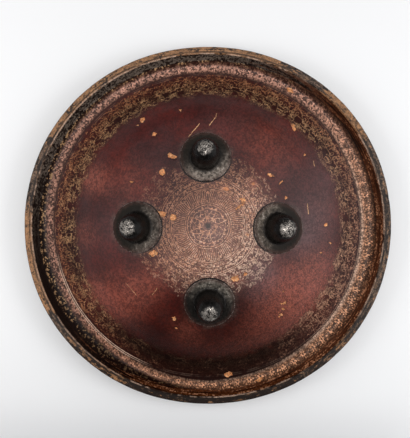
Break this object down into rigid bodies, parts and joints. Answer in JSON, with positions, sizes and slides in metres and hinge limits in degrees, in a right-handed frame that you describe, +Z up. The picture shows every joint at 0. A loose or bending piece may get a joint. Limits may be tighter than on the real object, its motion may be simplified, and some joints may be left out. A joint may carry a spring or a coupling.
{
  "type": "round hide shield",
  "caption": "Round convex shield of lacquered hide with an upturned lip, gilt borders and medallion, and hollow iron bosses riveted through to washers on the back.",
  "frame": {"origin": "on the surface that the shield lies on, at the middle of its outline", "axes": "+Z up out of the face, +X across the shield's wider way towards the right boss, +Y towards the top boss"},
  "size_m": [0.4502, 0.4388, 0.0992],
  "materials": {
    "lacquered_hide": "glossy red-brown lacquer with worn gilt borders and medallion, orange chips, and a bare dark back",
    "boss_iron": "dark pitted iron, worn brighter on the crowns and the flanges' edges",
    "washer_iron": "dull brown-black iron with a little rust"
  },
  "bodies": {
    "root": {"hide_shell": "lacquered_hide", "boss_top": "boss_iron", "boss_right": "boss_iron", "boss_bottom": "boss_iron", "boss_left": "boss_iron", "washer_top": "washer_iron", "washer_right": "washer_iron", "washer_bottom": "washer_iron", "washer_left": "washer_iron"}
  },
  "joints": []
}
